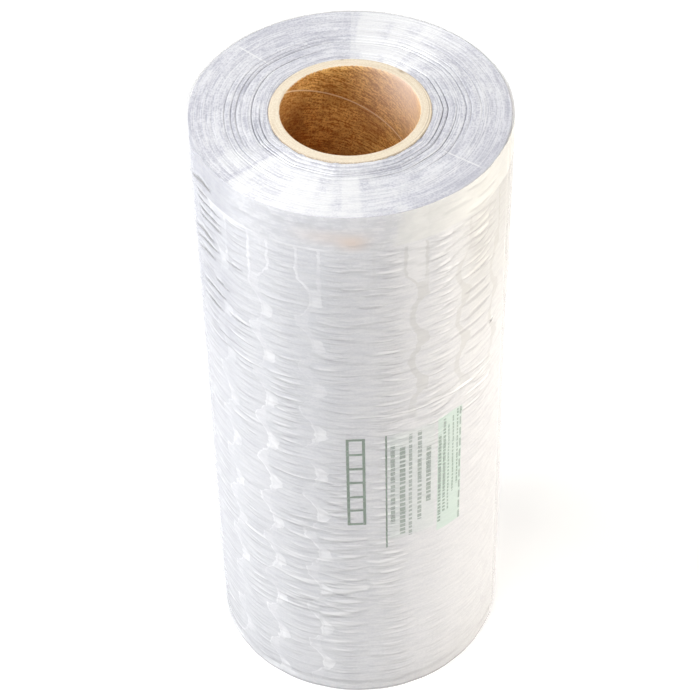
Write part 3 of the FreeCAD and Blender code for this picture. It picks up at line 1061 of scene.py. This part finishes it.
def paperboard_material():
    """Spiral-wound board: kraft brown and fibrous in the bore, with a lap seam, and cream at the ends."""
    graph = Graph("kraft_board")
    x, y, z = graph.position()
    radius = root(x * x + y * y)
    azimuth = azimuth_of(x, y)
    degrees = azimuth * (180 / math.pi)
    down = WEB - z
    # distance across the plies, on the bore's wall
    across = down + azimuth * (BORE_RADIUS * HELIX_SLOPE)
    seam = remainder(across / HELIX_LEAD + HELIX_START, 1.0) - 0.5
    lap = inside(seam * (HELIX_LEAD / MM), -0.45, 0.45, 0.35)
    fibre = graph.noise(x / radius * 6, y / radius * 6, across * 850, detail=4.0, roughness=0.75)
    blotch = graph.noise(x * 60, y * 60, z * 60, detail=4.0, roughness=0.65)
    grain = graph.noise(x * 900, y * 900, z * 900, roughness=0.7)
    ply = graph.noise(x / radius * 2, y / radius * 2, radius * 1400)
    bore = bore_colour(graph, 0.6 * fibre + 0.4 * grain, blotch, lap, degrees, down)
    end = cut_end_colour(graph, ply, grain, degrees, radius)
    at_rim = 1.0 - ramp(smaller(down, z), 0.2 * MM, 1.5 * MM)
    ragged = radius - (grain - 0.5) * (1.6 * MM) * at_rim
    at_end = ramp(ragged, BORE_RADIUS + 0.1 * MM, BORE_RADIUS + 0.4 * MM)
    graph.feed(graph.shader.inputs["Base Color"], graph.mix(at_end, bore, end))
    graph.feed(graph.shader.inputs["Roughness"], 0.75 - 0.2 * ramp(fibre, 0.4, 0.7))
    graph.bump(0.6 * fibre + 0.4 * grain + 0.5 * lap, 0.4 * MM, 0.6)
    return graph.material


# ---------------------------------------------------------------- floor, lights and camera
FLOOR_GLOW = 0.44  # lifts the pale floor to white where it is seen, and leaves the roll's shadow on it
FLOOR_HALF = 4.0  # half of the floor's side
CAMERA_PLACE = (0, -0.9994, 1.2136)
CAMERA_ANGLES = (-44.942, -0.168, -1.294)  # up from level, to the right of +Y, and rolled, in degrees
CAMERA_LENS = 121.92
CAMERA_SENSOR = 36


def make_floor():
    """A wide pale floor that looks white, and keeps the roll's shadow."""
    mesh = bpy.data.meshes.new("floor")
    corners = [(x * FLOOR_HALF, y * FLOOR_HALF, 0) for x, y in [(-1, -1), (1, -1), (1, 1), (-1, 1)]]
    mesh.from_pydata(corners, [], [(0, 1, 2, 3)])
    floor = bpy.data.objects.new("floor", mesh)
    bpy.context.scene.collection.objects.link(floor)
    graph = Graph("pale_floor")
    shader = graph.shader
    shader.inputs["Base Color"].default_value = (0.75, 0.75, 0.75, 1.0)
    shader.inputs["Roughness"].default_value = 0.9
    shader.inputs["Emission Color"].default_value = (1.0, 1.0, 1.0, 1.0)
    path = graph.node("LightPath")
    seen = 0.0
    for ray in ("Is Camera Ray", "Is Glossy Ray", "Is Transmission Ray"):
        seen = larger(Field(graph.tree, path.outputs[ray]), seen)
    graph.feed(shader.inputs["Emission Strength"], seen * FLOOR_GLOW)
    mesh.materials.append(graph.material)


def make_light(name, place, size, power, colour):
    """A square soft box that faces the roll's middle."""
    light = bpy.data.lights.new(name, "AREA")
    light.size = size
    light.energy = power
    light.color = colour
    lamp = bpy.data.objects.new(name, light)
    lamp.location = place
    lamp.rotation_euler = (Vector((0, 0, WEB / 2)) - Vector(place)).to_track_quat("-Z", "Y").to_euler()
    bpy.context.scene.collection.objects.link(lamp)


def make_world():
    """The pale light of the room, all round."""
    world = bpy.data.worlds.new("studio")
    world.use_nodes = True
    background = world.node_tree.nodes["Background"]
    background.inputs["Color"].default_value = (0.95, 0.97, 1.0, 1.0)
    background.inputs["Strength"].default_value = 0.25
    bpy.context.scene.world = world


def make_camera():
    """Above and in front of the roll, looking down at its upper end."""
    pitch, yaw, roll = (math.radians(angle) for angle in CAMERA_ANGLES)
    level = math.cos(pitch)
    forward = Vector((math.sin(yaw) * level, math.cos(yaw) * level, math.sin(pitch)))
    right = forward.cross(Vector((0, 0, 1))).normalized()
    up = right.cross(forward)
    across = math.cos(roll) * right + math.sin(roll) * up
    upright = math.cos(roll) * up - math.sin(roll) * right
    camera = bpy.data.objects.new("camera", bpy.data.cameras.new("camera"))
    camera.data.lens = CAMERA_LENS
    camera.data.sensor_width = CAMERA_SENSOR
    axes = Matrix((across, upright, -forward)).transposed()
    camera.matrix_world = Matrix.Translation(Vector(CAMERA_PLACE)) @ axes.to_4x4()
    bpy.context.scene.collection.objects.link(camera)
    bpy.context.scene.camera = camera


make_core(paperboard_material())
make_windings(windings_material())
make_outer_turn(film_material())
make_floor()
make_light("left_box", (-1.5, -0.25, 0.95), size=1.0, power=19.5, colour=(0.95, 0.97, 1.0))
make_light("right_box", (1.5, -0.15, 0.45), size=1.0, power=27, colour=(1.0, 0.925, 0.81))
make_light("top_box", (-0.75, 0.05, 1.75), size=0.6, power=10.2, colour=(1.0, 1.0, 1.0))
make_light("front_box", (-0.6, -1.1, 1.6), size=0.6, power=7.5, colour=(1.0, 1.0, 1.0))
make_world()
make_camera()
bpy.context.scene.view_settings.view_transform = "Standard"
